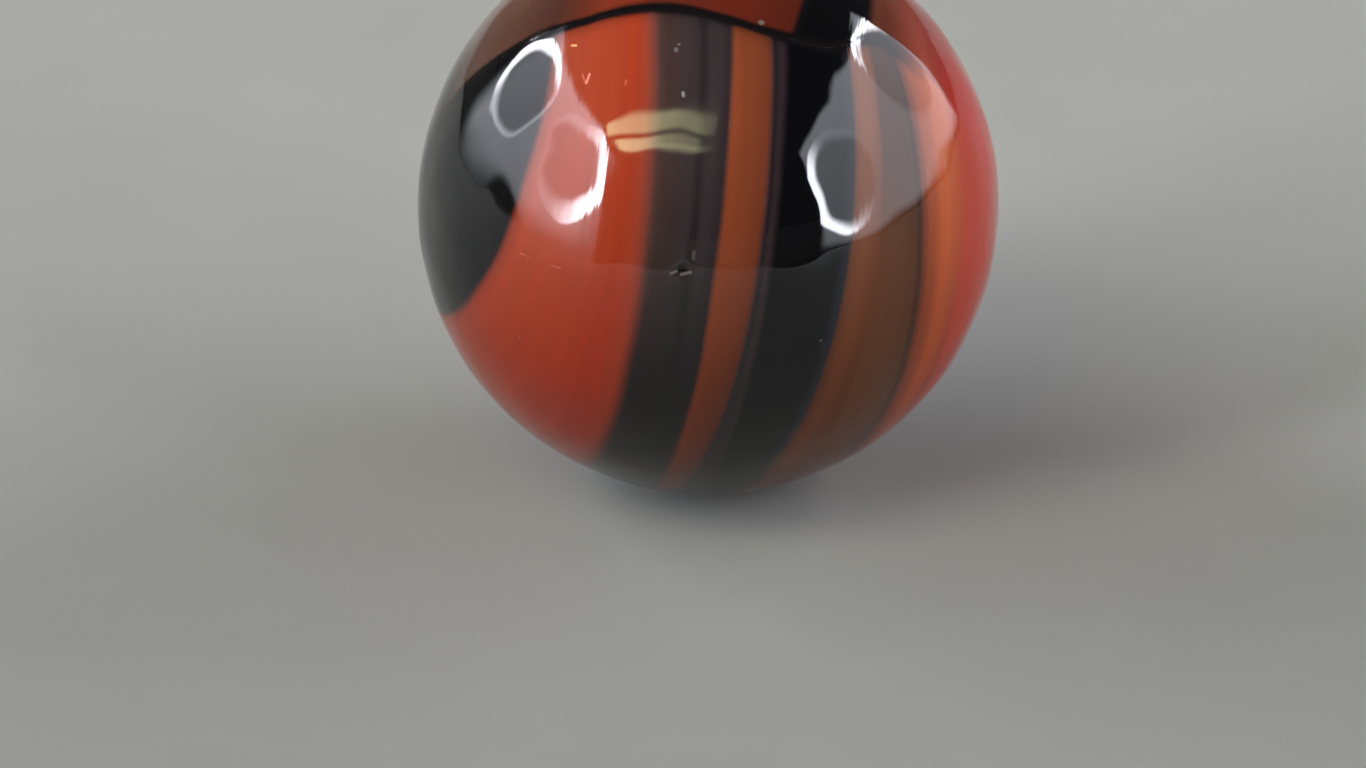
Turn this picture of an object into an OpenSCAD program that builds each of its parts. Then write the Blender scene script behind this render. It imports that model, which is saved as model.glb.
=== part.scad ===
// Glass marble: one ball, pressed and rolled from streams of coloured glass.
// The ball's centre is the origin and the front looks along -Y. Lengths are in millimetres.

/* [Ball] */
// Diameter of the ball
ball_d = 16; // [12:0.5:25]

/* [Fold seam] */
// Distance of the fold's plane from the ball's centre, towards the front
seam_offset = 1.1; // [0:0.1:3]
// Turn of the fold about the upright axis, in degrees
seam_turn = -8; // [-30:1:30]
// Lean of the fold back from upright, in degrees
seam_lean = 18; // [0:1:45]
// Width of the dark glass in the fold, and of the crease that it leaves in the surface
seam_w = 0.24; // [0.15:0.01:0.6]
// Depth of the crease at its deepest, over the top of the ball
crease_depth = 0.03; // [0.02:0.005:0.06]
// Run of the crease down each side of the ball before it fades out, in degrees
crease_run = 75; // [40:1:85]

/* [Bubble pit] */
// Width of the pit that a burst bubble left in the front
pit_w = 0.42; // [0.2:0.01:0.8]
// Depth of the pit
pit_depth = 0.09; // [0.03:0.01:0.15]
// Place of the pit round the ball, in degrees to the right of the front
pit_round = -5; // [-45:1:45]
// Height of the pit on the ball, in degrees above the middle
pit_rise = 12; // [-40:1:40]

/* [Seam nick] */
// Width of the nick beside the fold
nick_w = 0.26; // [0.15:0.01:0.6]
// Depth of the nick
nick_depth = 0.05; // [0.02:0.01:0.1]
// Place of the nick along the fold, in degrees to the right of its top
nick_along = 14; // [-60:1:60]
// Distance of the nick behind the middle of the fold
nick_back = 0.14; // [0.1:0.01:1]

/* [Hidden] */

// Colours of the glass streams
red_glass = "#b03a20";
orange_glass = "#96481f";
olive_glass = "#5e4029";
umber_glass = "#3a2b2c";
black_glass = "#0b0b10";

// The streams lie side by side as flat sheets. Each border between two sheets is a plane:
// [place across the ball's middle in hundredths of its radius, turn about the upright axis,
// lean to the right]. A stream tapers out where its two borders cross.
front_borders = [[-85, 8, 20], [-34, 5, 9], [-3, 1, 9], [4, 6, 10], [6.5, 6, 12],
                 [22, 16, 14], [28, 19, 11], [32, 29, 8], [57, 30, 10]];
front_glass = [black_glass, red_glass, umber_glass, orange_glass, umber_glass,
               black_glass, orange_glass, olive_glass, orange_glass, red_glass];

// Behind the fold the same streams come round again, at other widths
back_borders = [[-86, -5, 10], [-63, -14, 14], [-22, 6, 14], [-12, 6, -2], [-2, 6, -14],
                [24, -10, 8], [51, -4, 4], [80, 4, 14], [84, 4, -10]];
back_glass = [black_glass, umber_glass, red_glass, umber_glass, orange_glass,
              red_glass, black_glass, red_glass, orange_glass, red_glass];

ball_r = ball_d / 2;
reach = 2 * ball_d;
round_facets = 96;
// Neighbouring streams run this far into each other, so that they fuse with no gap
fusing = 0.02;

// Radius of a round tool that cuts a dish or groove of this width and depth
function tool_radius(width, depth) = (pow(width / 2, 2) + pow(depth, 2)) / (2 * depth);

// Stands its children on the fold's plane, with local Y square to it and local Z at its top
module on_fold() {
    rotate([seam_lean, 0, seam_turn]) translate([0, -seam_offset, 0]) children();
}

// A slab across the whole ball, from one distance behind the fold's plane to another
module fold_slab(from, to) {
    on_fold() translate([-reach, from, -reach]) cube([2 * reach, to - from, 2 * reach]);
}

// The groove along the fold: a ring, set low so that it rises out of the glass down each side
module crease() {
    fold_r = sqrt(pow(ball_r, 2) - pow(seam_offset, 2));
    tube_r = tool_radius(seam_w, crease_depth);
    drop = crease_depth / (1 - cos(crease_run));
    on_fold() translate([0, 0, -drop]) rotate([90, 0, 0])
        rotate_extrude($fn = round_facets)
            translate([fold_r + drop + tube_r - crease_depth, 0])
                circle(r = tube_r, $fn = round_facets);
}

// A round dish in the front, cut by a small ball whose centre is outside the glass
module bubble_pit() {
    cutter_r = tool_radius(pit_w, pit_depth);
    rotate([-pit_rise, 0, pit_round])
        translate([0, pit_depth - ball_r - cutter_r, 0])
            sphere(r = cutter_r, $fn = round_facets);
}

// A smaller dish that touches the back edge of the fold's line
module seam_nick() {
    cutter_r = tool_radius(nick_w, nick_depth);
    tilt = asin((seam_offset - nick_back) / ball_r);
    on_fold() rotate([0, nick_along, 0])
        translate([0, seam_offset, 0]) rotate([tilt, 0, 0])
            translate([0, 0, ball_r + cutter_r - nick_depth])
                sphere(r = cutter_r, $fn = round_facets);
}

// The ball's outer form, with every mark in its surface
module ball() {
    difference() {
        sphere(d = ball_d, $fn = round_facets);
        crease();
        bubble_pit();
        seam_nick();
    }
}

// Everything to the right of a border plane, as a block far larger than the ball
module right_of(border, shift = 0) {
    translate([ball_r * border[0] / 100, 0, 0])
        rotate([0, border[2], border[1]])
            translate([shift, -reach, -reach]) cube(2 * reach);
}

// One sheet: to the right of its own border and to the left of all the later ones
module sheet(borders, number) {
    difference() {
        if (number == 0) cube(2 * reach, center = true);
        else right_of(borders[number - 1]);
        for (later = [number : 1 : len(borders) - 1]) right_of(borders[later], fusing);
    }
}

// One side of the fold as its ribbons: the sheets of the streams, rounded off by the ball
module ribbons(borders, glass, from, to) {
    for (number = [0 : len(borders)])
        color(glass[number]) intersection() {
            ball();
            fold_slab(from, to);
            sheet(borders, number);
        }
}

// Dark glass that the fold closed on, right through the ball
module fold_lining() {
    color(black_glass) intersection() {
        ball();
        fold_slab(-seam_w / 2, seam_w / 2);
    }
}

// The marble is a single piece: the streams are fused, and only their colours part them
module marble() {
    ribbons(front_borders, front_glass, -reach, fusing - seam_w / 2);
    ribbons(back_borders, back_glass, seam_w / 2 - fusing, reach);
    fold_lining();
}

marble();
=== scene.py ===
"""Glass marble, pressed and rolled from streams of coloured glass and folded once over the top.

The ball's centre is the origin and its front looks along -Y. Blender's lengths are in metres;
the places of the glass streams are in radii of the ball, so that they follow its size.
"""

import logging
import math
from collections.abc import Sequence
from dataclasses import dataclass, field
from enum import Enum

import bpy
from mathutils import Matrix, Vector


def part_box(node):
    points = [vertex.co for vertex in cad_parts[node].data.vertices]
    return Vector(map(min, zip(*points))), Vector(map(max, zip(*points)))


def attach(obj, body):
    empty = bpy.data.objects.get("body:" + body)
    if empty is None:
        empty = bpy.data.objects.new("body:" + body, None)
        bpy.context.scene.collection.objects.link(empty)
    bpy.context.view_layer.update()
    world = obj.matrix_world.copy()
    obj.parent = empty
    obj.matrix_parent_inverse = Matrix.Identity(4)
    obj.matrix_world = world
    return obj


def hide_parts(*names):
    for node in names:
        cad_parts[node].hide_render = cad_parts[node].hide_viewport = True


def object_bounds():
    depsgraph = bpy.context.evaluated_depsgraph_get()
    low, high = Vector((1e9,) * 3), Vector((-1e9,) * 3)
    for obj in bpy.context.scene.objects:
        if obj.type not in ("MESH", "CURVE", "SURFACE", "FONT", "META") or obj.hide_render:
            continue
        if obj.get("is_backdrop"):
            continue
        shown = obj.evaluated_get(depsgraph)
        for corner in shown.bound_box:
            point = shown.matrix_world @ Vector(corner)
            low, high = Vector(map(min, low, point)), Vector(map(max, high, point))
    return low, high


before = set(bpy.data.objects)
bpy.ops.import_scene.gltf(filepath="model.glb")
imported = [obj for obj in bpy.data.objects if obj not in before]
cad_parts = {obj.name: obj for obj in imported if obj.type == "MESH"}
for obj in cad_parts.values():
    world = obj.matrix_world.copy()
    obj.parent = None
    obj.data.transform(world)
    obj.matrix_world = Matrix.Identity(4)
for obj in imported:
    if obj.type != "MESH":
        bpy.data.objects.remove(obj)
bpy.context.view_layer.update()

LOG = logging.getLogger("marble")
MM = 0.001

Tree = bpy.types.NodeTree
Node = bpy.types.Node
# What an input is fed: a node's first output in use, a named output, or a constant value
Feed = bpy.types.Node | bpy.types.NodeSocket | float | int | str | tuple
Point = tuple[float, float, float]
Turned = tuple[float, float]
MATH = "ShaderNodeMath"
VECTOR_MATH = "ShaderNodeVectorMath"

# A noise texture's values lie about a half, and nearly all of them between these two
NOISE_MIDDLE = 0.5
NOISE_LOW = 0.3
NOISE_HIGH = 0.7


class Kind(Enum):
    """The kinds of node that recur: each one's type, and the settings that say what it does.

    A range is fed a value, the two ends of what comes in and the two of what goes out. A mix goes
    by its input 0 from input 2 to input 3, or with colours from input 6 to input 7.
    """

    ADD = (MATH, {"operation": "ADD"})
    SUBTRACT = (MATH, {"operation": "SUBTRACT"})
    MULTIPLY = (MATH, {"operation": "MULTIPLY"})
    MULTIPLY_ADD = (MATH, {"operation": "MULTIPLY_ADD"})
    DIVIDE = (MATH, {"operation": "DIVIDE"})
    ABSOLUTE = (MATH, {"operation": "ABSOLUTE"})
    MAXIMUM = (MATH, {"operation": "MAXIMUM"})
    GREATER = (MATH, {"operation": "GREATER_THAN"})
    ADD_VECTORS = (VECTOR_MATH, {"operation": "ADD"})
    SUBTRACT_VECTORS = (VECTOR_MATH, {"operation": "SUBTRACT"})
    MULTIPLY_VECTORS = (VECTOR_MATH, {"operation": "MULTIPLY"})
    SCALE = (VECTOR_MATH, {"operation": "SCALE"})
    NORMALIZE = (VECTOR_MATH, {"operation": "NORMALIZE"})
    DOT = (VECTOR_MATH, {"operation": "DOT_PRODUCT"})
    DISTANCE = (VECTOR_MATH, {"operation": "DISTANCE"})
    PARTS = ("ShaderNodeSeparateXYZ", {})
    RANGE = ("ShaderNodeMapRange", {})
    EASED = ("ShaderNodeMapRange", {"interpolation_type": "SMOOTHSTEP"})
    MIX = ("ShaderNodeMix", {})
    MIX_COLOURS = ("ShaderNodeMix", {"data_type": "RGBA"})
    NOISE = ("ShaderNodeTexNoise", {})


class Shape(Enum):
    """The kinds of named input that a node group has."""

    NUMBER = "NodeSocketFloat"
    COUNT = "NodeSocketInt"
    FINISH = "NodeSocketMaterial"


def linear(code: str) -> tuple[float, float, float, float]:
    """Turns an sRGB colour into the linear one that Blender's sockets hold.

    Args:
        code: the colour, as six hex digits after a hash.

    Returns:
        The linear red, green and blue, and an alpha of one.
    """
    levels = [int(code[start : start + 2], 16) / 255 for start in (1, 3, 5)]
    curve = [v / 12.92 if v <= 0.04045 else ((v + 0.055) / 1.055) ** 2.4 for v in levels]
    return (*curve, 1.0)


def add(
    tree: Tree, kind: Kind | str, feeds: Sequence[Feed] | dict[int | str, Feed] = (),
    **settings: object,
) -> Node:
    """Adds one node to a tree, with its settings and links.

    Args:
        tree: the tree that gets the node.
        kind: the kind of node, or its type where that says it all.
        feeds: what feeds the inputs, in their order, or by their names or numbers.
        settings: the node's own properties, besides those of its kind.

    Returns:
        The new node.
    """
    node_type, kind_settings = kind.value if isinstance(kind, Kind) else (kind, {})
    node = tree.nodes.new(node_type)
    for name, value in {**kind_settings, **settings}.items():
        setattr(node, name, value)
    for key, source in feeds.items() if isinstance(feeds, dict) else enumerate(feeds):
        if isinstance(source, Node):
            source = next(output for output in source.outputs if output.enabled)
        if isinstance(source, bpy.types.NodeSocket):
            tree.links.new(source, node.inputs[key])
        else:
            node.inputs[key].default_value = source
    return node


def emptied(owner: bpy.types.ID) -> Tree:
    """Gives a material, a light or the world an empty node tree of its own."""
    owner.use_nodes = True
    owner.node_tree.nodes.clear()
    return owner.node_tree


def put(name: str, data: bpy.types.ID) -> bpy.types.Object:
    """Puts a new object with this data in the scene."""
    thing = bpy.data.objects.new(name, data)
    bpy.context.scene.collection.objects.link(thing)
    return thing


def on_ball(spot: Turned) -> Vector:
    """Gives the unit direction of a place, in degrees right of the front and above the middle."""
    turn, rise = (math.radians(angle) for angle in spot)
    return Vector((math.sin(turn) * math.cos(rise), -math.cos(turn) * math.cos(rise), math.sin(rise)))


@dataclass(frozen=True)
class Ground:
    """What the nodes of the glass's pattern work from: their tree and a place on the ball."""

    tree: Tree
    radius: float
    # The place is in radii from the ball's centre, and its direction is one unit long
    place: Feed
    direction: Feed


@dataclass(frozen=True)
class Fold:
    """The flat fold over the top of the ball, and its crease."""

    offset: float = 1.1 * MM
    turn_deg: float = -8.0
    lean_deg: float = 18.0
    width: float = 0.24 * MM
    depth: float = 0.03 * MM
    # The groove's own half width, as a share of the crease's width
    groove: float = 0.6
    run_deg: float = 75.0
    # The right end of the fold runs this far back from its plane, between these places (in radii)
    rise: float = 0.135
    rise_from: float = 0.38
    rise_to: float = 0.60
    # From this place its line makes so many wavers to the right (their height and length in radii)
    wavers: int = 2
    waver: float = 0.024
    waver_length: float = 0.85
    waver_start: float = -0.41
    # The crease is deepest within the first place across, and this share is left beyond the second
    shallow: float = 0.03
    deep_within: float = 0.30
    shallow_beyond: float = 0.44

    def axes(self) -> Matrix:
        """Gives the fold's own axes: Y is square to it, and Z points at its top."""
        turn = Matrix.Rotation(math.radians(self.turn_deg), 3, "Z")
        return turn @ Matrix.Rotation(math.radians(self.lean_deg), 3, "X")

    def square(self) -> Vector:
        """Gives the direction square to the fold, towards the back."""
        return self.axes().col[1]

    def top(self) -> Vector:
        """Gives the direction from the fold's middle to its top."""
        return self.axes().col[2]

    def beside(self, along_deg: float, behind: float, radius: float) -> Vector:
        """Gives the unit direction of a place beside the fold.

        Args:
            along_deg: degrees along the fold, to the right of its top.
            behind: how far the place is behind the fold.
            radius: the ball's radius.

        Returns:
            The direction from the ball's centre.
        """
        along = Matrix.Rotation(math.radians(along_deg), 3, "Y")
        tilt = Matrix.Rotation(math.asin((self.offset - behind) / radius), 3, "X")
        return self.axes() @ (along @ tilt @ Vector((0, 0, 1)))

    def distance(self, tree: Tree, place: Feed, radius: float) -> Node:
        """Adds the nodes that measure how far a place is behind the fold, in radii.

        Args:
            tree: the shader or geometry tree.
            place: the place, in radii from the ball's centre.
            radius: the ball's radius.

        Returns:
            The node that gives the distance, which is negative in front of the fold.
        """
        square = add(tree, Kind.DOT, [place, self.square()])
        across = add(tree, Kind.PARTS, [place]).outputs["X"]
        offset = self.offset / radius
        bend = add(tree, Kind.EASED, [across, self.rise_from, self.rise_to, offset, offset - self.rise])
        flat = add(tree, Kind.ADD, [square, bend])
        last = self.waver_start + self.wavers * self.waver_length
        along = add(tree, Kind.RANGE, [across, self.waver_start, last, 0.0, self.wavers * math.tau])
        wave = add(tree, MATH, [along], operation="SINE")
        return add(tree, Kind.MULTIPLY_ADD, [wave, -self.waver, flat])


@dataclass(frozen=True)
class Dish:
    """A round dish in the surface: a burst bubble's pit or a nick, tinted in its middle: near-black
    painted shade in the pit, a paler greyish chip in the nick.
    """

    place: Vector
    width: float
    depth: float
    lip: float = 0.0
    # The default tone is the pit's near-black painted shade
    tone: str = "#0a0808"
    # Ends of the dish, of its lip, of its full tint and of all its tint, in half widths
    dish_end: float = 1.1
    lip_end: float = 1.7
    shade_and_chip_full: float = 0.425
    shade_and_chip_end: float = 0.85

    def reach(self, tree: Tree, direction: Feed, radius: Feed) -> Node:
        """Adds the nodes that measure how far a place is from the dish's middle.

        Args:
            tree: the shader or geometry tree.
            direction: the place's unit direction.
            radius: the ball's radius.

        Returns:
            The node that gives the distance, in half widths of the dish.
        """
        gap = add(tree, Kind.DISTANCE, [direction, self.place])
        length = add(tree, Kind.MULTIPLY, [gap, radius])
        return add(tree, Kind.DIVIDE, [length, self.width / 2])

    def relief(self, tree: Tree, direction: Feed, radius: Feed) -> Node:
        """Adds the nodes that give the dish's height over the plain ball.

        Args:
            tree: the geometry tree.
            direction: the unit direction of the point.
            radius: the ball's radius.

        Returns:
            The node that gives the height in metres, negative in the dish.
        """
        share = self.reach(tree, direction, radius)
        bowl = add(tree, Kind.EASED, [share, 0.0, self.dish_end, -self.depth, 0.0])
        lip = add(tree, Kind.EASED, [share, self.dish_end, self.lip_end, self.lip, 0.0])
        edge = add(tree, Kind.EASED, [share, self.shade_and_chip_end, self.dish_end, 0.0, lip])
        return add(tree, Kind.ADD, [bowl, edge])

    def shown(self, ground: Ground) -> Node:
        """Adds the nodes that give how much of the dish's tint shows, from 0 to 1: painted shade in the
        pit, a paler chip in the nick.
        """
        share = self.reach(ground.tree, ground.direction, ground.radius)
        return add(ground.tree, Kind.EASED, [share, self.shade_and_chip_full, self.shade_and_chip_end, 1.0, 0.0])


@dataclass(frozen=True)
class ScratchAndGlint:
    """A short pale stroke: a scratch or fleck, which scatters light from crushed glass, or a painted
    glint.
    """

    start: Turned
    end: Turned
    width: float
    tone: str
    strength: float
    # It is full within the first of these shares of its half width, and gone beyond the second
    full: float = 0.3
    gone: float = 1.3

    def shown(self, ground: Ground) -> Node:
        """Adds the nodes that draw the stroke.

        Args:
            ground: the tree and the place on the ball.

        Returns:
            The node that gives how much of the stroke shows, from 0 to its strength.
        """
        tree = ground.tree
        start, end = on_ball(self.start), on_ball(self.end)
        line = end - start
        offset = add(tree, Kind.SUBTRACT_VECTORS, [ground.direction, start])
        along = add(tree, Kind.DOT, [offset, line])
        share = add(tree, Kind.RANGE, [along, 0.0, line.length_squared, 0.0, 1.0])
        nearest = add(tree, Kind.SCALE, {0: line, "Scale": share})
        gap = add(tree, Kind.DISTANCE, [offset, nearest])
        half = self.width / 2 / ground.radius
        return add(tree, Kind.EASED, [gap, self.full * half, self.gone * half, self.strength, 0.0])


# Both ends of each scratch, fleck and painted glint are in degrees round to the right and degrees up
SCRATCHES_AND_GLINTS = (
    ScratchAndGlint((-35.5, 46.6), (-35.2, 44.7), 0.08 * MM, "#ff9a84", 0.75),
    ScratchAndGlint((-37.6, 46.1), (-35.5, 44.7), 0.065 * MM, "#f08a72", 0.35),
    ScratchAndGlint((-47.0, 51.0), (-45.6, 51.3), 0.08 * MM, "#f0b67c", 0.9),
    ScratchAndGlint((-7.0, 45.8), (-6.8, 45.2), 0.10 * MM, "#b4b0b4", 0.45),
    ScratchAndGlint((-11.0, 55.2), (-10.8, 54.8), 0.12 * MM, "#a9a7a8", 0.25),
    ScratchAndGlint((-23.8, 47.0), (-23.8, 46.3), 0.09 * MM, "#e06c50", 0.4),
    # Painted glints: these two grey strokes just below the pit stand for light on its lower lip
    ScratchAndGlint((-7.3, 10.4), (-6.2, 10.9), 0.08 * MM, "#6a6062", 0.7),
    ScratchAndGlint((-5.2, 10.3), (-3.4, 10.8), 0.10 * MM, "#6a6062", 0.7),
    ScratchAndGlint((-2.8, 14.8), (-2.9, 13.4), 0.10 * MM, "#5a5254", 0.5),
    ScratchAndGlint((-39.9, 9.0), (-30.1, 8.4), 0.05 * MM, "#d88a78", 0.25),
)


@dataclass(frozen=True)
class Stream:
    """One stream of coloured glass, and the border on its left.

    The border is a plane: its place across the ball's middle and the width over which the two
    colours run together are in radii, and its turn about the upright axis and its lean to the
    right in degrees. The tones run from the left border to the next one.
    """

    tones: tuple[tuple[float, str], ...]
    place: float = -1.2
    turn: float = 0.0
    lean: float = 0.0
    blur: float = 0.012
    # Painted shade: what the tones' red, green and blue are multiplied by low on the ball, mostly darker
    # there and lighter where a factor is above one, and between which
    #     # heights they change, in radii
    low: tuple[float, float, float] = (0.75, 0.75, 0.75)
    low_shade_start: float = 0.6
    low_shade_end: float = -0.4

    def normal(self) -> Vector:
        """Gives the direction square to the border, towards the stream."""
        turn, lean = math.radians(self.turn), math.radians(self.lean)
        return Vector(
            (math.cos(turn) * math.cos(lean), math.sin(turn) * math.cos(lean), -math.sin(lean))
        )

    def inside(self, tree: Tree, place: Feed) -> Node:
        """Adds the nodes that measure how far a place is inside the stream's own border.

        Args:
            tree: the shader tree.
            place: the place, in radii from the ball's centre.

        Returns:
            The node that gives the distance, in radii.
        """
        normal = self.normal()
        dot = add(tree, Kind.DOT, [place, normal])
        return add(tree, Kind.SUBTRACT, [dot, self.place * normal.x])

    def toned(self, tree: Tree, share: Feed, height: Feed) -> Node:
        """Adds the nodes that give the stream's colour, with its painted shade low on the ball.

        Args:
            tree: the shader tree.
            share: how far across the stream the place is, from 0 to 1.
            height: the place's height over the ball's middle, in radii.

        Returns:
            The node that gives the colour.
        """
        tone = add(tree, "ShaderNodeValToRGB", [share])
        ramp = tone.color_ramp
        ramp.interpolation = "EASE"
        for index, (spot, code) in enumerate(self.tones):
            stop = ramp.elements[index] if index < 2 else ramp.elements.new(spot)
            stop.position = spot
            stop.color = linear(code)
        # Painted shade: the tones darken towards the bottom of the ball by their low factors
        depth = add(tree, Kind.EASED, [height, self.low_shade_end, self.low_shade_start, 1.0, 0.0])
        change = tuple(factor - 1.0 for factor in self.low)
        level = add(tree, VECTOR_MATH, [depth, change, (1.0, 1.0, 1.0)], operation="MULTIPLY_ADD")
        return add(tree, Kind.MULTIPLY_VECTORS, [tone, level])


FRONT_STREAMS = (
    Stream(((0.0, "#08080b"), (1.0, "#060609"))),
    Stream(((0.0, "#813523"), (0.12, "#943c26"), (0.5, "#973a22"), (0.8, "#94331c"), (1.0, "#893a2a")),
           -0.85, 8, 20, 0.012, (0.84, 0.4, 0.02)),
    Stream(((0.0, "#49322e"), (0.2, "#392926"), (0.52, "#32292a"), (0.63, "#251e20"), (0.74, "#32292b"),
            (1.0, "#2a2123")), -0.37, 7, 8, 0.03, (0.05, 0.05, 0.05)),
    Stream(((0.0, "#7c3b21"), (0.4, "#73371f"), (1.0, "#66301d")), -0.107, 6, 9, 0.014, (0.6, 0.38, 0.05)),
    Stream(((0.0, "#332528"), (0.3, "#20171a"), (0.6, "#2c2123"), (1.0, "#1f181b")),
           -0.045, 10, 11, 0.012, (0.7, 0.65, 0.6)),
    Stream(((0.0, "#030306"), (0.82, "#030306"), (0.95, "#1a1c24"), (1.0, "#1b1a20")),
           0.045, 8, 10.2, 0.012),
    Stream(((0.0, "#663923"), (0.4, "#78442a"), (1.0, "#6b3b25")),
           0.114, 20, 13.3, 0.010, (0.6, 0.4, 0.1)),
    Stream(((0.0, "#46291b"), (0.5, "#42281d"), (0.85, "#3b2316"), (1.0, "#25120c")),
           0.245, 20, 11, 0.012, (1.7, 1.3, 0.7), 0.5, 0.1),
    Stream(((0.0, "#4c2313"), (0.1, "#6f3219"), (0.2, "#90411d"), (0.6, "#b55322"), (1.0, "#a73e19")),
           0.32, 29, 8, 0.012, (0.66, 0.45, 0.05)),
    Stream(((0.0, "#913a29"), (1.0, "#993627")), 0.57, 30, 10, 0.05, (1.3, 0.45, 0.1), 0.64, 0.40),
)
BACK_STREAMS = (
    Stream(((0.0, "#0d0d12"), (1.0, "#151013"))),
    Stream(((0.0, "#725a51"), (0.5, "#784f40"), (1.0, "#643b33")), -0.94, -5, 10, 0.05),
    Stream(((0.0, "#793c28"), (0.3, "#9f3e26"), (0.7, "#aa3d26"), (1.0, "#933d2c")),
           -0.63, -14, 14, 0.08),
    Stream(((0.0, "#3f2c2b"), (1.0, "#35292a")), -0.22, 6, 14, 0.02),
    Stream(((0.0, "#93492d"), (1.0, "#894127")), -0.12, 6, -2, 0.02),
    Stream(((0.0, "#7c321f"), (0.6, "#842f1d"), (1.0, "#742a1a")), -0.02, 6, -14, 0.03),
    Stream(((0.0, "#120f13"), (0.2, "#050508"), (1.0, "#08080c")), 0.24, -10, 8, 0.014),
    Stream(((0.0, "#894834"), (0.3, "#984434"), (1.0, "#954331")), 0.51, -4, 4, 0.02),
    Stream(((0.0, "#88402e"), (1.0, "#913628")), 0.80, 4, 14, 0.02),
    Stream(((0.0, "#93342a"), (0.2, "#b01b12")), 0.84, 4, -10, 0.03),
)
# Streams are told apart by this step of their lanes, which is more than any stream's width
LANE_STEP = 3.0
# The last stream of a side has no border on its right, and its tones run over this width, in radii
LAST_WIDTH = 0.7


@dataclass(frozen=True)
class Lining:
    """The dark glass caught in the fold, and the shade that it casts into the streams."""

    tone: str = "#0b0809"
    # Thinnest and thickest, as shares of the fold's width, and one swelling in about 3 mm
    thin: float = 1.25
    thick: float = 2.5
    uneven: float = 3.0 * MM
    # It is full within the first of these shares of its half width, and gone beyond the second
    full: float = 0.35
    gone: float = 1.25
    # It swells to the right by this half width, and fades between these places, in radii
    swell: float = 0.018
    fades_from: float = 0.60
    fades_to: float = 0.76
    # Brightness left in the streams just behind the fold and just in front of it, and how far the
    # shade reaches: behind, it is full up to the first place and gone beyond the second, in radii
    shade_behind: float = 0.45
    full_behind: float = 0.1
    reach_behind: float = 0.55
    shade_ahead: float = 0.6
    reach_ahead: float = 0.08

    def line(self, ground: Ground, behind: Feed, fold: Fold) -> Node:
        """Adds the nodes that draw the lining.

        Args:
            ground: the tree and the place on the ball.
            behind: the distance behind the fold, in radii.
            fold: the fold that the lining is caught in.

        Returns:
            The node that gives how much of the lining shows, from 0 to 1.
        """
        tree = ground.tree
        across = add(tree, Kind.PARTS, [ground.place]).outputs["X"]
        scale = ground.radius / self.uneven
        noise = add(tree, Kind.NOISE, {"Vector": ground.place, "Scale": scale, "Detail": 3.0})
        swell = add(tree, Kind.EASED, [across, fold.rise_from, fold.rise_to, 0.0, self.swell])
        half = fold.width / ground.radius / 2
        wide = add(tree, Kind.RANGE, [noise, NOISE_LOW, NOISE_HIGH, self.thin * half, self.thick * half])
        wider = add(tree, Kind.ADD, [wide, swell])
        away = add(tree, Kind.ABSOLUTE, [behind])
        share = add(tree, Kind.DIVIDE, [away, wider])
        line = add(tree, Kind.EASED, [share, self.full, self.gone, 1.0, 0.0])
        end = add(tree, Kind.EASED, [across, self.fades_from, self.fades_to, 1.0, 0.0])
        return add(tree, Kind.MULTIPLY, [line, end])

    def shade(self, ground: Ground, behind: Feed) -> Node:
        """Adds the nodes that shade the streams beside the fold.

        Args:
            ground: the tree and the place on the ball.
            behind: the distance behind the fold, in radii.

        Returns:
            The node that gives the share of their brightness that is left.
        """
        tree = ground.tree
        across = add(tree, Kind.PARTS, [ground.place]).outputs["X"]
        deepest, nearest = (
            add(tree, Kind.EASED, [across, self.fades_from, self.fades_to, level, 1.0])
            for level in (self.shade_behind, self.shade_ahead)
        )
        back = add(tree, Kind.EASED, [behind, self.full_behind, self.reach_behind, deepest, 1.0])
        front = add(tree, Kind.EASED, [behind, -self.reach_ahead, 0.0, 1.0, nearest])
        side = add(tree, Kind.GREATER, [behind, 0.0])
        return add(tree, Kind.MIX, {0: side, 2: front, 3: back})

    def laid(self, ground: Ground, colour: Feed, behind: Feed, fold: Fold) -> Node:
        """Adds the nodes that lay the lining and its shade over the streams.

        Args:
            ground: the tree and the place on the ball.
            colour: the streams' colour.
            behind: the distance behind the fold, in radii.
            fold: the fold that the lining is caught in.

        Returns:
            The node that gives the lined colour.
        """
        shaded = add(ground.tree, Kind.SCALE, {0: colour, "Scale": self.shade(ground, behind)})
        line = self.line(ground, behind, fold)
        return add(ground.tree, Kind.MIX_COLOURS, {0: line, 6: shaded, 7: linear(self.tone)})


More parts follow.
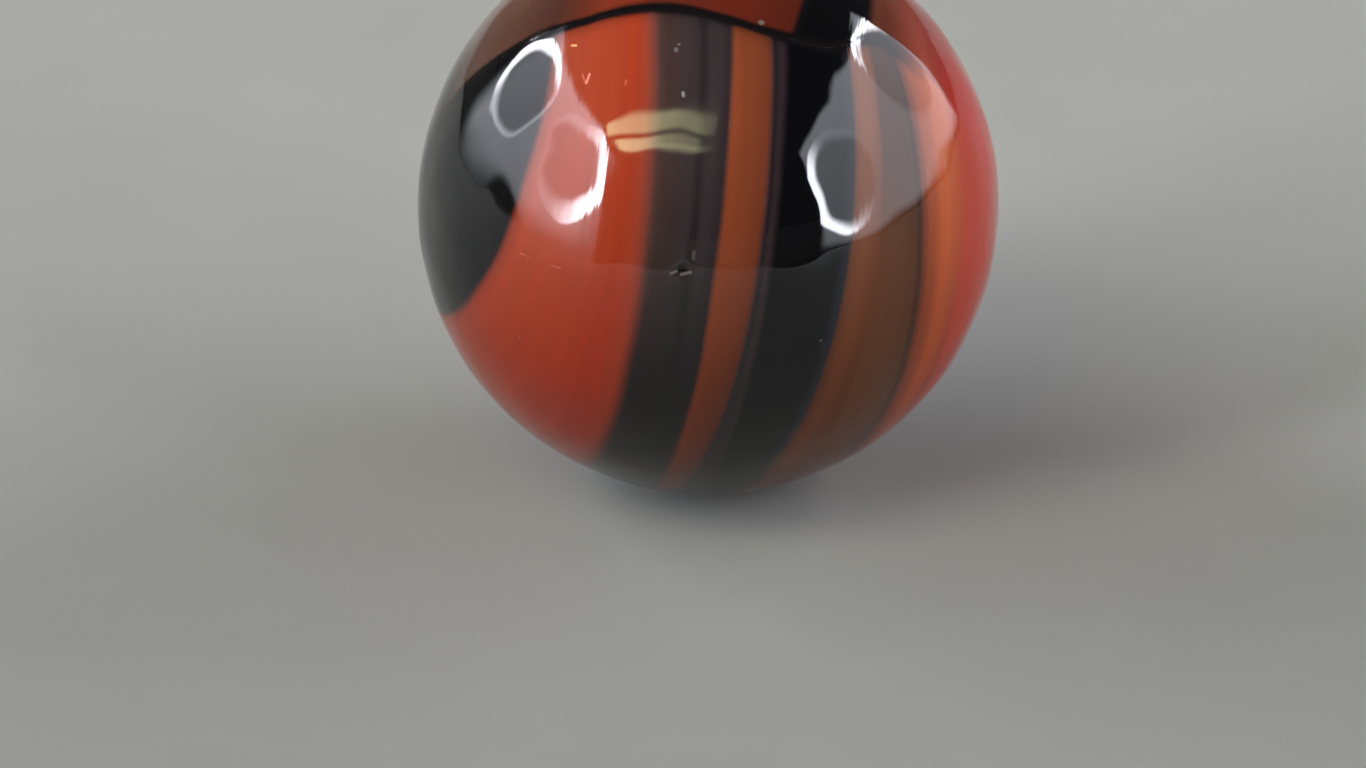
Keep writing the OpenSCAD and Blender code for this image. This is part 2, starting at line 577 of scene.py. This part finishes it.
@dataclass(frozen=True)
class Cords:
    """Cords of slightly different glass, drawn out along the streams, and soft clouds in them."""

    # One cord in about 0.4 mm, each some 7 mm long, and one cloud in about 4 mm
    gap: float = 0.4 * MM
    length: float = 7.0 * MM
    cloud: float = 4.0 * MM
    strength: float = 0.13
    cord_share: float = 0.6
    # The cords stand proud of the skin by up to this much
    ridge: float = 0.0050 * MM

    def grain(self, ground: Ground, lane: Feed) -> Node:
        """Adds the nodes that draw the cords.

        Args:
            ground: the tree and the place on the ball.
            lane: what runs across the streams, in radii.

        Returns:
            The node that gives the cords, as a number about one half.
        """
        tree = ground.tree
        parts = add(tree, Kind.PARTS, [ground.place])
        drawn = add(tree, "ShaderNodeCombineXYZ", [lane, parts.outputs["Y"], parts.outputs["Z"]])
        fine, slow = ground.radius / self.gap, ground.radius / self.length
        stretched = add(tree, Kind.MULTIPLY_VECTORS, [drawn, (fine, slow, slow)])
        return add(tree, Kind.NOISE, {"Vector": stretched, "Scale": 1.0, "Detail": 3.0})

    def tinted(self, ground: Ground, colour: Feed, grain: Feed) -> Node:
        """Adds the nodes that make the streams lighter and darker along the cords and clouds.

        Args:
            ground: the tree and the place on the ball.
            colour: the streams' colour.
            grain: the cords.

        Returns:
            The node that gives the new colour.
        """
        tree, scale = ground.tree, ground.radius / self.cloud
        cloud = add(tree, Kind.NOISE, {"Vector": ground.place, "Scale": scale, "Detail": 3.0})
        mixed = add(tree, Kind.MIX, {0: self.cord_share, 2: cloud, 3: grain})
        low, high = 1 - self.strength, 1 + self.strength
        level = add(tree, Kind.RANGE, [mixed, NOISE_LOW, NOISE_HIGH, low, high])
        return add(tree, Kind.SCALE, {0: colour, "Scale": level})

    def ridged(self, tree: Tree, grain: Feed) -> Node:
        """Adds the node that lets the cords stand a little proud, and gives its normal."""
        return add(tree, "ShaderNodeBump", {"Height": grain, "Distance": self.ridge})


@dataclass(frozen=True)
class Seeds:
    """Seeds: pin bubbles just under the skin, which show as fine pale dots.

    Real ones are a few hundredths of a millimetre; these are as coarse as they need to be to show.
    """

    gap: float = 1.3 * MM
    width: float = 0.06 * MM
    tone: str = "#b8a49a"
    strength: float = 0.4
    # A seed is full within the first of these shares of its half width, and gone beyond the second
    full: float = 0.5
    gone: float = 2.0
    # Share of the places that hold a seed
    held: float = 0.45

    def shown(self, ground: Ground) -> Node:
        """Adds the nodes that scatter the seeds.

        Args:
            ground: the tree and the place on the ball.

        Returns:
            The node that gives how much of a seed shows, from 0 to its strength.
        """
        tree, scale = ground.tree, ground.radius / self.gap
        cells = add(tree, "ShaderNodeTexVoronoi", {"Vector": ground.place, "Scale": scale})
        chance = add(tree, Kind.PARTS, [cells.outputs["Color"]]).outputs["X"]
        half = self.width / self.gap / 2
        dot = add(tree, Kind.EASED, [cells, self.full * half, self.gone * half, self.strength, 0.0])
        there = add(tree, MATH, [chance, self.held], operation="LESS_THAN")
        return add(tree, Kind.MULTIPLY, [dot, there])


@dataclass(frozen=True)
class StreamedGlass:
    """Soda-lime glass, pressed and rolled hot.

    Opaque streams of colour lie side by side under a hard, wet-looking skin: their borders are
    soft where the hot glass ran together, and fine cords follow them along their length.
    """

    name: str = "soda_lime_glass_rolled"
    fold: Fold = field(default_factory=Fold)
    lining: Lining = field(default_factory=Lining)
    cords: Cords = field(default_factory=Cords)
    seeds: Seeds = field(default_factory=Seeds)
    ior: float = 1.52
    roughness: float = 0.03
    # Slow sideways wander of the borders: one bend in about 5 mm, by up to this many radii
    wander_length: float = 5.0 * MM
    wander: float = 0.012

    def side(self, tree: Tree, place: Feed, streams: tuple[Stream, ...]) -> tuple[Node, Node]:
        """Adds the nodes that lay one side's streams next to each other.

        Args:
            tree: the shader tree.
            place: the place, in radii from the ball's centre.
            streams: the side's streams, from left to right.

        Returns:
            The node that gives the colour, and one that runs across the streams in radii.
        """
        depths = [stream.inside(tree, place) for stream in streams]
        height = add(tree, Kind.PARTS, [place]).outputs["Z"]
        colour, across = None, None
        for number, stream in enumerate(streams):
            wide, width = LAST_WIDTH, LAST_WIDTH
            if number + 1 < len(streams):
                width = streams[number + 1].place - stream.place
                wide = add(tree, Kind.SUBTRACT, [depths[number], depths[number + 1]])
            share = add(tree, Kind.DIVIDE, [depths[number], wide])
            tone = stream.toned(tree, share, height)
            lane = add(tree, Kind.MULTIPLY_ADD, [share, width, LANE_STEP * number])
            if colour is None:
                colour, across = tone, lane
                continue
            entry = add(tree, Kind.EASED, [depths[number], -stream.blur, stream.blur, 0.0, 1.0])
            colour = add(tree, Kind.MIX_COLOURS, {0: entry, 6: colour, 7: tone})
            crossed = add(tree, Kind.GREATER, [depths[number], 0.0])
            across = add(tree, Kind.MIX, {0: crossed, 2: across, 3: lane})
        return colour, across

    def wandered(self, ground: Ground) -> Node:
        """Adds the nodes that let the streams' borders wander a little.

        Args:
            ground: the tree and the place on the ball.

        Returns:
            The node that gives the moved place, in radii.
        """
        tree, scale = ground.tree, ground.radius / self.wander_length
        drift = add(tree, Kind.NOISE, {"Vector": ground.place, "Scale": scale, "Detail": 2.0})
        centred = add(tree, Kind.SUBTRACT_VECTORS, [drift.outputs["Color"], (NOISE_MIDDLE,) * 3])
        moved = add(tree, Kind.SCALE, {0: centred, "Scale": 2 * self.wander})
        return add(tree, Kind.ADD_VECTORS, [ground.place, moved])

    def material(self, radius: float, dishes: tuple[Dish, ...]) -> bpy.types.Material:
        """Builds the glass for a ball of one size.

        Args:
            radius: the ball's radius.
            dishes: the dishes in the ball's surface, whose middles are tinted: painted shade in the pit, a
                paler chip in the nick.

        Returns:
            The material, which reads Object coordinates.
        """
        material = bpy.data.materials.new(self.name)
        tree = emptied(material)
        spot = add(tree, "ShaderNodeTexCoord").outputs["Object"]
        place = add(tree, Kind.SCALE, {0: spot, "Scale": 1 / radius})
        ground = Ground(tree, radius, place, add(tree, Kind.NORMALIZE, [spot]))
        warped = self.wandered(ground)
        front, front_lane = self.side(tree, warped, FRONT_STREAMS)
        back, back_lane = self.side(tree, warped, BACK_STREAMS)
        behind = self.fold.distance(tree, warped, radius)
        side = add(tree, Kind.GREATER, [behind, 0.0])
        colour = add(tree, Kind.MIX_COLOURS, {0: side, 6: front, 7: back})
        lane = add(tree, Kind.MIX, {0: side, 2: front_lane, 3: back_lane})
        grain = self.cords.grain(ground, lane)
        colour = self.cords.tinted(ground, colour, grain)
        colour = self.lining.laid(ground, colour, behind, self.fold)
        # Seeds, the dishes' tints (painted shade in the pit) and the strokes (two of them painted glints)
        # are laid over the colour
        for mark in (self.seeds, *dishes, *SCRATCHES_AND_GLINTS):
            feeds = {0: mark.shown(ground), 6: colour, 7: linear(mark.tone)}
            colour = add(tree, Kind.MIX_COLOURS, feeds)
        shader = add(
            tree, "ShaderNodeBsdfPrincipled",
            {"Base Color": colour, "Roughness": self.roughness, "IOR": self.ior,
             "Normal": self.cords.ridged(tree, grain)},
        )
        add(tree, "ShaderNodeOutputMaterial", {"Surface": shader})
        return material


@dataclass(frozen=True)
class MattPaper:
    """Studio paper: pale and matt, with faintly uneven pulp, and a painted shade that darkens it from
    behind the ball to in front of it.
    """

    name: str = "studio_paper_matt"
    tone: str = "#9b9a95"
    shade: str = "#95948f"
    # Share of its paleness that lights the ball from below
    bounce: float = 0.4
    # Painted shade: the share of its paleness left in front, and from where to where it darkens
    front: float = 0.74
    painted_shade_from: float = 16 * MM
    painted_shade_to: float = -12 * MM
    roughness: float = 0.85
    pulp: float = 4 * MM

    def material(self) -> bpy.types.Material:
        """Builds the paper.

        Returns:
            The material, which reads Object coordinates.
        """
        material = bpy.data.materials.new(self.name)
        tree = emptied(material)
        spot = add(tree, "ShaderNodeTexCoord").outputs["Object"]
        fibre = add(tree, Kind.NOISE, {"Vector": spot, "Scale": 1 / self.pulp, "Detail": 4.0})
        colour = add(tree, Kind.MIX_COLOURS, {0: fibre, 6: linear(self.tone), 7: linear(self.shade)})
        ray = add(tree, "ShaderNodeLightPath").outputs
        seen = add(tree, Kind.MAXIMUM, [ray["Is Camera Ray"], ray["Is Glossy Ray"]])
        shown = add(tree, Kind.MAXIMUM, [seen, ray["Is Transmission Ray"]])
        # Painted shade: the paper as the camera and the ball's gloss see it darkens towards the front
        depth = add(tree, Kind.PARTS, [spot]).outputs["Y"]
        painted_shade = add(tree, Kind.EASED, [depth, self.painted_shade_to, self.painted_shade_from, self.front, 1.0])
        level = add(tree, Kind.RANGE, [shown, 0.0, 1.0, self.bounce, painted_shade])
        toned = add(tree, Kind.SCALE, {0: colour, "Scale": level})
        shader = add(tree, "ShaderNodeBsdfPrincipled", {"Base Color": toned, "Roughness": self.roughness})
        add(tree, "ShaderNodeOutputMaterial", {"Surface": shader})
        return material


@dataclass
class Marble:
    """The ball itself, shaped by one geometry tree."""

    radius: float
    finish: StreamedGlass
    name: str = "glass_ball"
    # Points along each edge of the cube that is blown up into the ball
    edge_points: int = 128
    # How strongly the mesh is drawn together beside the fold and the pit, and over what reach,
    # in radii
    gather: float = 0.7
    fold_reach: float = 0.10
    pit_reach: float = 0.07
    # The rolled skin waves by a few hundredths of a millimetre
    wave_length: float = 1.9 * MM
    wave_height: float = 0.085 * MM
    wave_roughness: float = 0.4
    seed: float = 4.0
    dishes: tuple[Dish, ...] = ()

    def __post_init__(self) -> None:
        """Sets the marks in the ball's surface."""
        pit = on_ball((-5, 11.4))
        nick = self.finish.fold.beside(along_deg=14, behind=0.03 * MM, radius=self.radius)
        self.dishes = (
            # The pit's near-black tint is painted shade in its hollow
            Dish(pit, width=0.42 * MM, depth=0.06 * MM, lip=0.006 * MM),
            Dish(nick, width=0.26 * MM, depth=0.05 * MM, tone="#6a5a56"),
        )

    def shape(self, finish: bpy.types.Material) -> tuple[Tree, dict[str, object]]:
        """Builds the geometry tree.

        Args:
            finish: the ball's material.

        Returns:
            The tree, and the value of each of its named inputs by the socket's identifier.
        """
        fold = self.finish.fold
        tree = bpy.data.node_groups.new("rolled_ball", "GeometryNodeTree")
        wanted = (
            ("Radius", Shape.NUMBER, self.radius),
            ("Edge points", Shape.COUNT, self.edge_points),
            ("Crease width", Shape.NUMBER, fold.width),
            ("Crease depth", Shape.NUMBER, fold.depth),
            ("Crease run", Shape.NUMBER, math.cos(math.radians(fold.run_deg))),
            ("Wave length", Shape.NUMBER, self.wave_length),
            ("Wave height", Shape.NUMBER, self.wave_height),
            ("Seed", Shape.NUMBER, self.seed),
            ("Glass", Shape.FINISH, finish),
        )
        values = {}
        for label, shape, value in wanted:
            socket = tree.interface.new_socket(label, in_out="INPUT", socket_type=shape.value)
            values[socket.identifier] = value
        tree.interface.new_socket("Ball", in_out="OUTPUT", socket_type="NodeSocketGeometry")
        given = add(tree, "NodeGroupInput").outputs
        points = {axis: given["Edge points"] for axis in (1, 2, 3)}
        cube = add(tree, "GeometryNodeMeshCube", {0: (2.0, 2.0, 2.0), **points})
        direction = self.blown(tree)
        behind = fold.distance(tree, direction, self.radius)
        move = add(tree, Kind.MULTIPLY, [self.pull(tree, behind, self.fold_reach), behind])
        direction = self.moved(tree, direction, fold.square(), move)
        offset = add(tree, Kind.SUBTRACT_VECTORS, [direction, self.dishes[0].place])
        length = add(tree, VECTOR_MATH, [offset], operation="LENGTH")
        direction = self.moved(tree, direction, offset, self.pull(tree, length, self.pit_reach))
        height = self.skin(tree, direction, given)
        marks = [dish.relief(tree, direction, given["Radius"]) for dish in self.dishes]
        for mark in (*marks, self.crease(tree, direction, given)):
            height = add(tree, Kind.ADD, [height, mark])
        reach = add(tree, Kind.ADD, [given["Radius"], height])
        point = add(tree, Kind.SCALE, {0: direction, "Scale": reach})
        placed = add(tree, "GeometryNodeSetPosition", {"Geometry": cube, "Position": point})
        smooth = add(tree, "GeometryNodeSetShadeSmooth", [placed])
        real = add(tree, "GeometryNodeRealizeInstances", [smooth])
        dressed = add(tree, "GeometryNodeSetMaterial", {"Geometry": real, "Material": given["Glass"]})
        add(tree, "NodeGroupOutput", [dressed])
        return tree, values

    def blown(self, tree: Tree) -> Node:
        """Adds the nodes that blow the cube up into a ball with even faces.

        Args:
            tree: the geometry tree.

        Returns:
            The node that gives the unit direction of the point.
        """
        parts = add(tree, Kind.PARTS, [add(tree, "GeometryNodeInputPosition")])
        spread = []
        for part in parts.outputs:
            angle = add(tree, Kind.MULTIPLY, [part, math.pi / 4])
            spread.append(add(tree, MATH, [angle], operation="TANGENT"))
        return add(tree, Kind.NORMALIZE, [add(tree, "ShaderNodeCombineXYZ", spread)])

    def pull(self, tree: Tree, length: Feed, reach: float) -> Node:
        """Adds the nodes that give the pull on a point: strong near a mark and none far from it.

        Args:
            tree: the geometry tree.
            length: how far the point is from the mark, in radii.
            reach: how far the pull reaches, in radii.

        Returns:
            The node that gives the share of the way that the point moves off, negative.
        """
        share = add(tree, Kind.DIVIDE, [length, reach])
        squared = add(tree, Kind.MULTIPLY, [share, share])
        minus = add(tree, Kind.MULTIPLY, [squared, -1.0])
        bell = add(tree, MATH, [minus], operation="EXPONENT")
        return add(tree, Kind.MULTIPLY, [bell, -self.gather])

    def moved(self, tree: Tree, direction: Feed, way: Feed, share: Feed) -> Node:
        """Adds the nodes that move a unit direction by a share of a way, along the ball."""
        step = add(tree, Kind.SCALE, {0: way, "Scale": share})
        return add(tree, Kind.NORMALIZE, [add(tree, Kind.ADD_VECTORS, [direction, step])])

    def skin(self, tree: Tree, direction: Feed, given: bpy.types.NodeOutputs) -> Node:
        """Adds the nodes that wave the rolled skin, always inwards.

        Args:
            tree: the geometry tree.
            direction: the unit direction of the point.
            given: the tree's named inputs.

        Returns:
            The node that gives the height in metres.
        """
        turns = add(tree, Kind.DIVIDE, [given["Radius"], given["Wave length"]])
        feeds = {"Vector": direction, "W": given["Seed"], "Scale": turns, "Detail": 1.0,
                 "Roughness": self.wave_roughness}
        noise = add(tree, Kind.NOISE, feeds, noise_dimensions="4D")
        inward = add(tree, Kind.SUBTRACT, [noise, 1.0])
        return add(tree, Kind.MULTIPLY, [inward, given["Wave height"]])

    def crease(self, tree: Tree, direction: Feed, given: bpy.types.NodeOutputs) -> Node:
        """Adds the nodes that press the crease in along the fold, fading out down each side.

        Args:
            tree: the geometry tree.
            direction: the unit direction of the point.
            given: the tree's named inputs.

        Returns:
            The node that gives the height in metres, negative in the crease.
        """
        fold = self.finish.fold
        behind = fold.distance(tree, direction, self.radius)
        away = add(tree, Kind.ABSOLUTE, [behind])
        metres = add(tree, Kind.MULTIPLY, [away, given["Radius"]])
        half = add(tree, Kind.MULTIPLY, [given["Crease width"], fold.groove])
        groove = add(tree, Kind.EASED, [metres, 0.0, half, 1.0, 0.0])
        upward = add(tree, Kind.DOT, [direction, fold.top()])
        fade = add(tree, Kind.RANGE, [upward, given["Crease run"], 1.0, 0.0, 1.0])
        across = add(tree, Kind.PARTS, [direction]).outputs["X"]
        sideways = add(tree, Kind.ABSOLUTE, [across])
        ease = add(tree, Kind.EASED, [sideways, fold.deep_within, fold.shallow_beyond, 1.0, fold.shallow])
        for part in (fade, ease, given["Crease depth"], -1.0):
            groove = add(tree, Kind.MULTIPLY, [groove, part])
        return groove

    def build(self) -> None:
        """Shapes the ball, dresses it and sets it in the frame in the CAD node's stead."""
        tree, values = self.shape(self.finish.material(self.radius, self.dishes))
        blank = put("blank", bpy.data.meshes.new("blank"))
        modifier = blank.modifiers.new("rolled_ball", "NODES")
        modifier.node_group = tree
        for identifier, value in values.items():
            modifier[identifier] = value
        shaped = blank.evaluated_get(bpy.context.evaluated_depsgraph_get())
        mesh = bpy.data.meshes.new_from_object(shaped)
        bpy.data.objects.remove(blank)
        bpy.data.node_groups.remove(tree)
        mesh.name = self.name
        piece = put(self.name, mesh)
        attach(piece, "root")
        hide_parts("marble")
        LOG.info("%s: %d faces, radius %.4f mm", piece.name, len(mesh.polygons), self.radius / MM)


@dataclass(frozen=True)
class Bowl:
    """A round lamp behind a panel's diffuser, which shows as a bright, uneven ring.

    Places are on the panel, in metres from its middle: along it and up it. The ring lies between
    the lamp's own circle and that of its darker middle.
    """

    middle: tuple[float, float]
    radius: float
    hole: tuple[float, float]
    hole_radius: float
    # The direction of the ring's brightest side
    towards: tuple[float, float]
    rim: float = 24.0
    # The share of the rim's light on its dimmest side, and where it grows, in radii of the lamp
    weak: float = 0.03
    dim_to: float = -0.5
    full_from: float = 0.45
    soft: float = 0.015
    # Share of the panel's light that shows inside the ring
    inside: float = 0.65

    def glow(self, tree: Tree, spot: Feed, base: Feed) -> Node:
        """Adds the nodes that lay the lamp over the panel's light.

        Args:
            tree: the light's tree.
            spot: the place on the panel, in metres from its middle.
            base: the panel's radiance.

        Returns:
            The node that gives the new radiance.
        """
        middle, hole = (*self.middle, 0.0), (*self.hole, 0.0)
        outer = add(tree, Kind.DISTANCE, [spot, middle])
        inner = add(tree, Kind.DISTANCE, [spot, hole])
        full = self.radius - self.soft
        disc = add(tree, Kind.EASED, [outer, full, self.radius, 1.0, 0.0])
        start, end = self.hole_radius - self.soft, self.hole_radius + self.soft
        solid = add(tree, Kind.EASED, [inner, start, end, 0.0, 1.0])
        offset = add(tree, Kind.SUBTRACT_VECTORS, [spot, middle])
        side = add(tree, Kind.DOT, [offset, (*self.towards, 0.0)])
        dim, bright = self.dim_to * self.radius, self.full_from * self.radius
        weight = add(tree, Kind.EASED, [side, dim, bright, self.weak, 1.0])
        rim = self.rim
        for part in (disc, solid, weight):
            rim = add(tree, Kind.MULTIPLY, [part, rim])
        level = add(tree, Kind.RANGE, [solid, 0.0, 1.0, self.inside, 1.0])
        return add(tree, Kind.MULTIPLY_ADD, [base, level, rim])


@dataclass(frozen=True)
class Tube:
    """A straight lamp in a fitting: its place, its size and its turn on the fitting."""

    middle: tuple[float, float]
    length: float
    width: float
    radiance: float
    turn_deg: float = 0.0
    # Share by which its light grows over a metre to its left
    left_gain: float = 1.0
    soft: float = 0.03
    soft_end: float = 0.09

    def glow(self, tree: Tree, spot: Feed, base: Feed) -> Node:
        """Adds the nodes that lay the lamp over the fitting's light.

        Args:
            tree: the light's tree.
            spot: the place on the fitting, in metres from its middle.
            base: the fitting's radiance.

        Returns:
            The node that gives the new radiance.
        """
        turn = math.radians(self.turn_deg)
        along = (math.cos(turn), math.sin(turn), 0.0)
        up = (-math.sin(turn), math.cos(turn), 0.0)
        offset = add(tree, Kind.SUBTRACT_VECTORS, [spot, (*self.middle, 0.0)])
        slope = add(tree, Kind.DOT, [offset, along])
        level = add(tree, Kind.MULTIPLY_ADD, [slope, -self.radiance * self.left_gain, self.radiance])
        sides = ((along, self.length, self.soft_end), (up, self.width, self.soft))
        for axis, size, soft in sides:
            part = add(tree, Kind.DOT, [offset, axis])
            away = add(tree, Kind.ABSOLUTE, [part])
            full, end = (size - soft) / 2, (size + soft) / 2
            level = add(tree, Kind.EASED, [away, full, end, level, 0.0])
        return add(tree, Kind.ADD, [base, level])


@dataclass(frozen=True)
class SoftLight:
    """A flat studio light, by its place from the ball's centre and what it faces."""

    name: str
    place: Point
    facing: Point
    width: float
    height: float
    radiance: float
    tone: str = "#ffffff"
    lamps: tuple[Bowl | Tube, ...] = ()
    # The light falls off softly over these widths inside its ends, at its top and at its foot
    soft_end: float = 0.03
    soft_edge: float = 0.03
    soft_foot: float = 0.03
    # Share by which the light grows over a metre along the panel and up it
    growth: Point = (0.0, 0.0, 0.0)

    def pattern(self, tree: Tree) -> Node:
        """Adds the nodes that give the radiance over the light's face.

        Args:
            tree: the light's tree.

        Returns:
            The node that gives the radiance.
        """
        share = add(tree, "ShaderNodeNewGeometry").outputs["Parametric"]
        centred = add(tree, Kind.SUBTRACT_VECTORS, [share, (0.5, 0.5, 0.0)])
        spot = add(tree, Kind.MULTIPLY_VECTORS, [centred, (self.width, self.height, 0.0)])
        slope = add(tree, Kind.DOT, [spot, self.growth])
        level = add(tree, Kind.MULTIPLY_ADD, [slope, self.radiance, self.radiance])
        parts = add(tree, Kind.PARTS, [spot])
        away = add(tree, Kind.ABSOLUTE, [parts.outputs["X"]])
        below = add(tree, Kind.MULTIPLY, [parts.outputs["Y"], -1.0])
        edges = (
            (away, self.width / 2, self.soft_end),
            (parts.outputs["Y"], self.height / 2, self.soft_edge),
            (below, self.height / 2, self.soft_foot),
        )
        for part, end, soft in edges:
            level = add(tree, Kind.EASED, [part, end - soft, end, level, 0.0])
        for lamp in self.lamps:
            level = lamp.glow(tree, spot, level)
        return level

    def build(self) -> None:
        """Hangs the light in the scene."""
        lamp = bpy.data.lights.new(self.name, "AREA")
        lamp.shape = "RECTANGLE"
        lamp.size = self.width
        lamp.size_y = self.height
        # A flat light's radiance is its power over its area and pi, and the tree sets the radiance
        lamp.energy = math.pi * self.width * self.height
        lamp.color = linear(self.tone)[:3]
        tree = emptied(lamp)
        glow = add(tree, "ShaderNodeEmission", [linear("#ffffff"), self.pattern(tree)])
        add(tree, "ShaderNodeOutputLight", [glow])
        light = put(self.name, lamp)
        light.location = self.place
        light.rotation_mode = "QUATERNION"
        light.rotation_quaternion = Vector(self.facing).to_track_quat("-Z", "Y")
        light.visible_camera = False
        LOG.info("light %s: radiance %.1f", self.name, self.radiance)


LIGHTS = (
    SoftLight(
        "left_panel", (-0.35, -0.05, 0.16), (1, 0, 0), 0.66, 0.40, 3.8, "#f2f5ff",
        lamps=(
            Bowl((0.16, 0.043), 0.152, (0.122, 0.034), 0.10, (0.97, 0.15), weak=0.07, dim_to=-0.6),
            Bowl((-0.181, 0.048), 0.131, (-0.172, 0.040), 0.105, (-0.75, 0.66), weak=0.2, dim_to=-0.25,
                 soft=0.012, inside=0.6),
            Bowl((-0.052, -0.185), 0.06, (-0.052, -0.185), 0.06, (1.0, 0.0), rim=0.0, inside=0.0),
        ),
        soft_end=0.10, soft_foot=0.11, growth=(0.6, 2.0, 0.0),
    ),
    SoftLight(
        "right_panel", (0.35, -0.01, 0.1825), (-1, 0, 0), 0.70, 0.385, 2.9, "#f2f5ff",
        lamps=(
            Bowl((-0.225, -0.0075), 0.155, (-0.195, -0.0155), 0.118, (-0.95, -0.3)),
            Bowl((0.22, 0.0405), 0.147, (0.209, 0.0265), 0.125, (0.2, 0.98), rim=20.0, dim_to=0.05,
                 full_from=0.8),
        ),
        growth=(0.0, 1.0, 0.0),
    ),
    SoftLight(
        "twin_tubes", (-0.27, -0.45, 0.6), (0, 0, -1), 0.62, 0.36, 0.25, "#ffffc4",
        lamps=(
            Tube((-0.01, 0.093), 0.56, 0.105, 5.3, -8.0, 2.2, soft=0.045),
            Tube((0.0, -0.06), 0.46, 0.115, 5.2, -4.0, 4.0, soft=0.045),
            Tube((0.145, -0.117), 0.21, 0.07, 1.1),
        ),
        soft_end=0.07, soft_edge=0.05, soft_foot=0.05,
    ),
)


@dataclass
class Studio:
    """The pale sweep that the marble lies on, the lights round it and the camera."""

    floor_z: float
    radius: float
    paper: MattPaper = field(default_factory=MattPaper)
    sweep_radius: float = 0.9
    cove_radius: float = 0.12
    sweep_height: float = 0.22
    sweep_steps: int = 96
    cove_steps: int = 8
    room_level: float = 0.06
    lens: float = 270.0
    camera_rise_deg: float = 24.0
    camera_gap: float = 0.2807
    clip_near: float = 0.01
    clip_far: float = 10.0
    # The camera's aim, left of the ball's centre and below it, in radii
    aim_left: float = 0.0856
    aim_below: float = 0.6160

    def sweep(self) -> None:
        """Builds the round floor, which curves up into a low wall."""
        rings = [(self.sweep_radius - self.cove_radius, 0.0)]
        for step in range(1, self.cove_steps + 1):
            turn = math.radians(90 * step / self.cove_steps)
            inset = self.cove_radius * (1 - math.sin(turn))
            rings.append((self.sweep_radius - inset, self.cove_radius * (1 - math.cos(turn))))
        rings.append((self.sweep_radius, self.sweep_height))
        points = [(0.0, 0.0, self.floor_z)]
        for reach, rise in rings:
            for step in range(self.sweep_steps):
                turn = math.tau * step / self.sweep_steps
                points.append((reach * math.cos(turn), reach * math.sin(turn), self.floor_z + rise))
        faces = []
        for step in range(self.sweep_steps):
            after = (step + 1) % self.sweep_steps
            faces.append((0, 1 + step, 1 + after))
            for ring in range(len(rings) - 1):
                base = 1 + ring * self.sweep_steps
                above = base + self.sweep_steps
                faces.append((base + step, above + step, above + after, base + after))
        mesh = bpy.data.meshes.new("paper_sweep")
        mesh.from_pydata(points, [], faces)
        mesh.polygons.foreach_set("use_smooth", [True] * len(mesh.polygons))
        mesh.materials.append(self.paper.material())
        floor = put("paper_sweep", mesh)
        floor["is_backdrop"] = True
        LOG.info("paper_sweep: %d faces", len(mesh.polygons))

    def room(self) -> None:
        """Sets the even, dim light of the room."""
        world = bpy.data.worlds.new("dim_room")
        tree = emptied(world)
        glow = add(tree, "ShaderNodeBackground", [linear("#ffffff"), self.room_level])
        add(tree, "ShaderNodeOutputWorld", [glow])
        bpy.context.scene.world = world

    def camera(self) -> None:
        """Sets the camera in front, looking a little down on the ball."""
        rise = math.radians(self.camera_rise_deg)
        back = Vector((0, -math.cos(rise), math.sin(rise)))
        upward = Vector((0, math.sin(rise), math.cos(rise)))
        aim = -self.radius * (self.aim_left * Vector((1, 0, 0)) + self.aim_below * upward)
        lens = bpy.data.cameras.new("camera")
        lens.lens = self.lens
        lens.clip_start = self.clip_near
        lens.clip_end = self.clip_far
        camera = put("camera", lens)
        camera.location = back * self.camera_gap
        camera.rotation_mode = "QUATERNION"
        camera.rotation_quaternion = (aim - camera.location).to_track_quat("-Z", "Y")
        bpy.context.scene.camera = camera
        LOG.info("camera: %.0f mm lens at %.3f m", self.lens, self.camera_gap)

    def build(self) -> None:
        """Builds the sweep, the lights, the room and the camera."""
        self.sweep()
        for light in LIGHTS:
            light.build()
        self.room()
        self.camera()
        bpy.context.scene.view_settings.view_transform = "Standard"


def main() -> None:
    """Builds the marble and the studio round it."""
    logging.basicConfig(level=logging.INFO, format="%(name)s: %(message)s")
    low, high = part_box("marble")
    # The ball fits in the smallest side of the CAD solid's box
    radius = min(high - low) / 2
    Marble(radius, StreamedGlass()).build()
    Studio(floor_z=low.z, radius=radius).build()
    low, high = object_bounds()


if __name__ == "__main__":
    main()
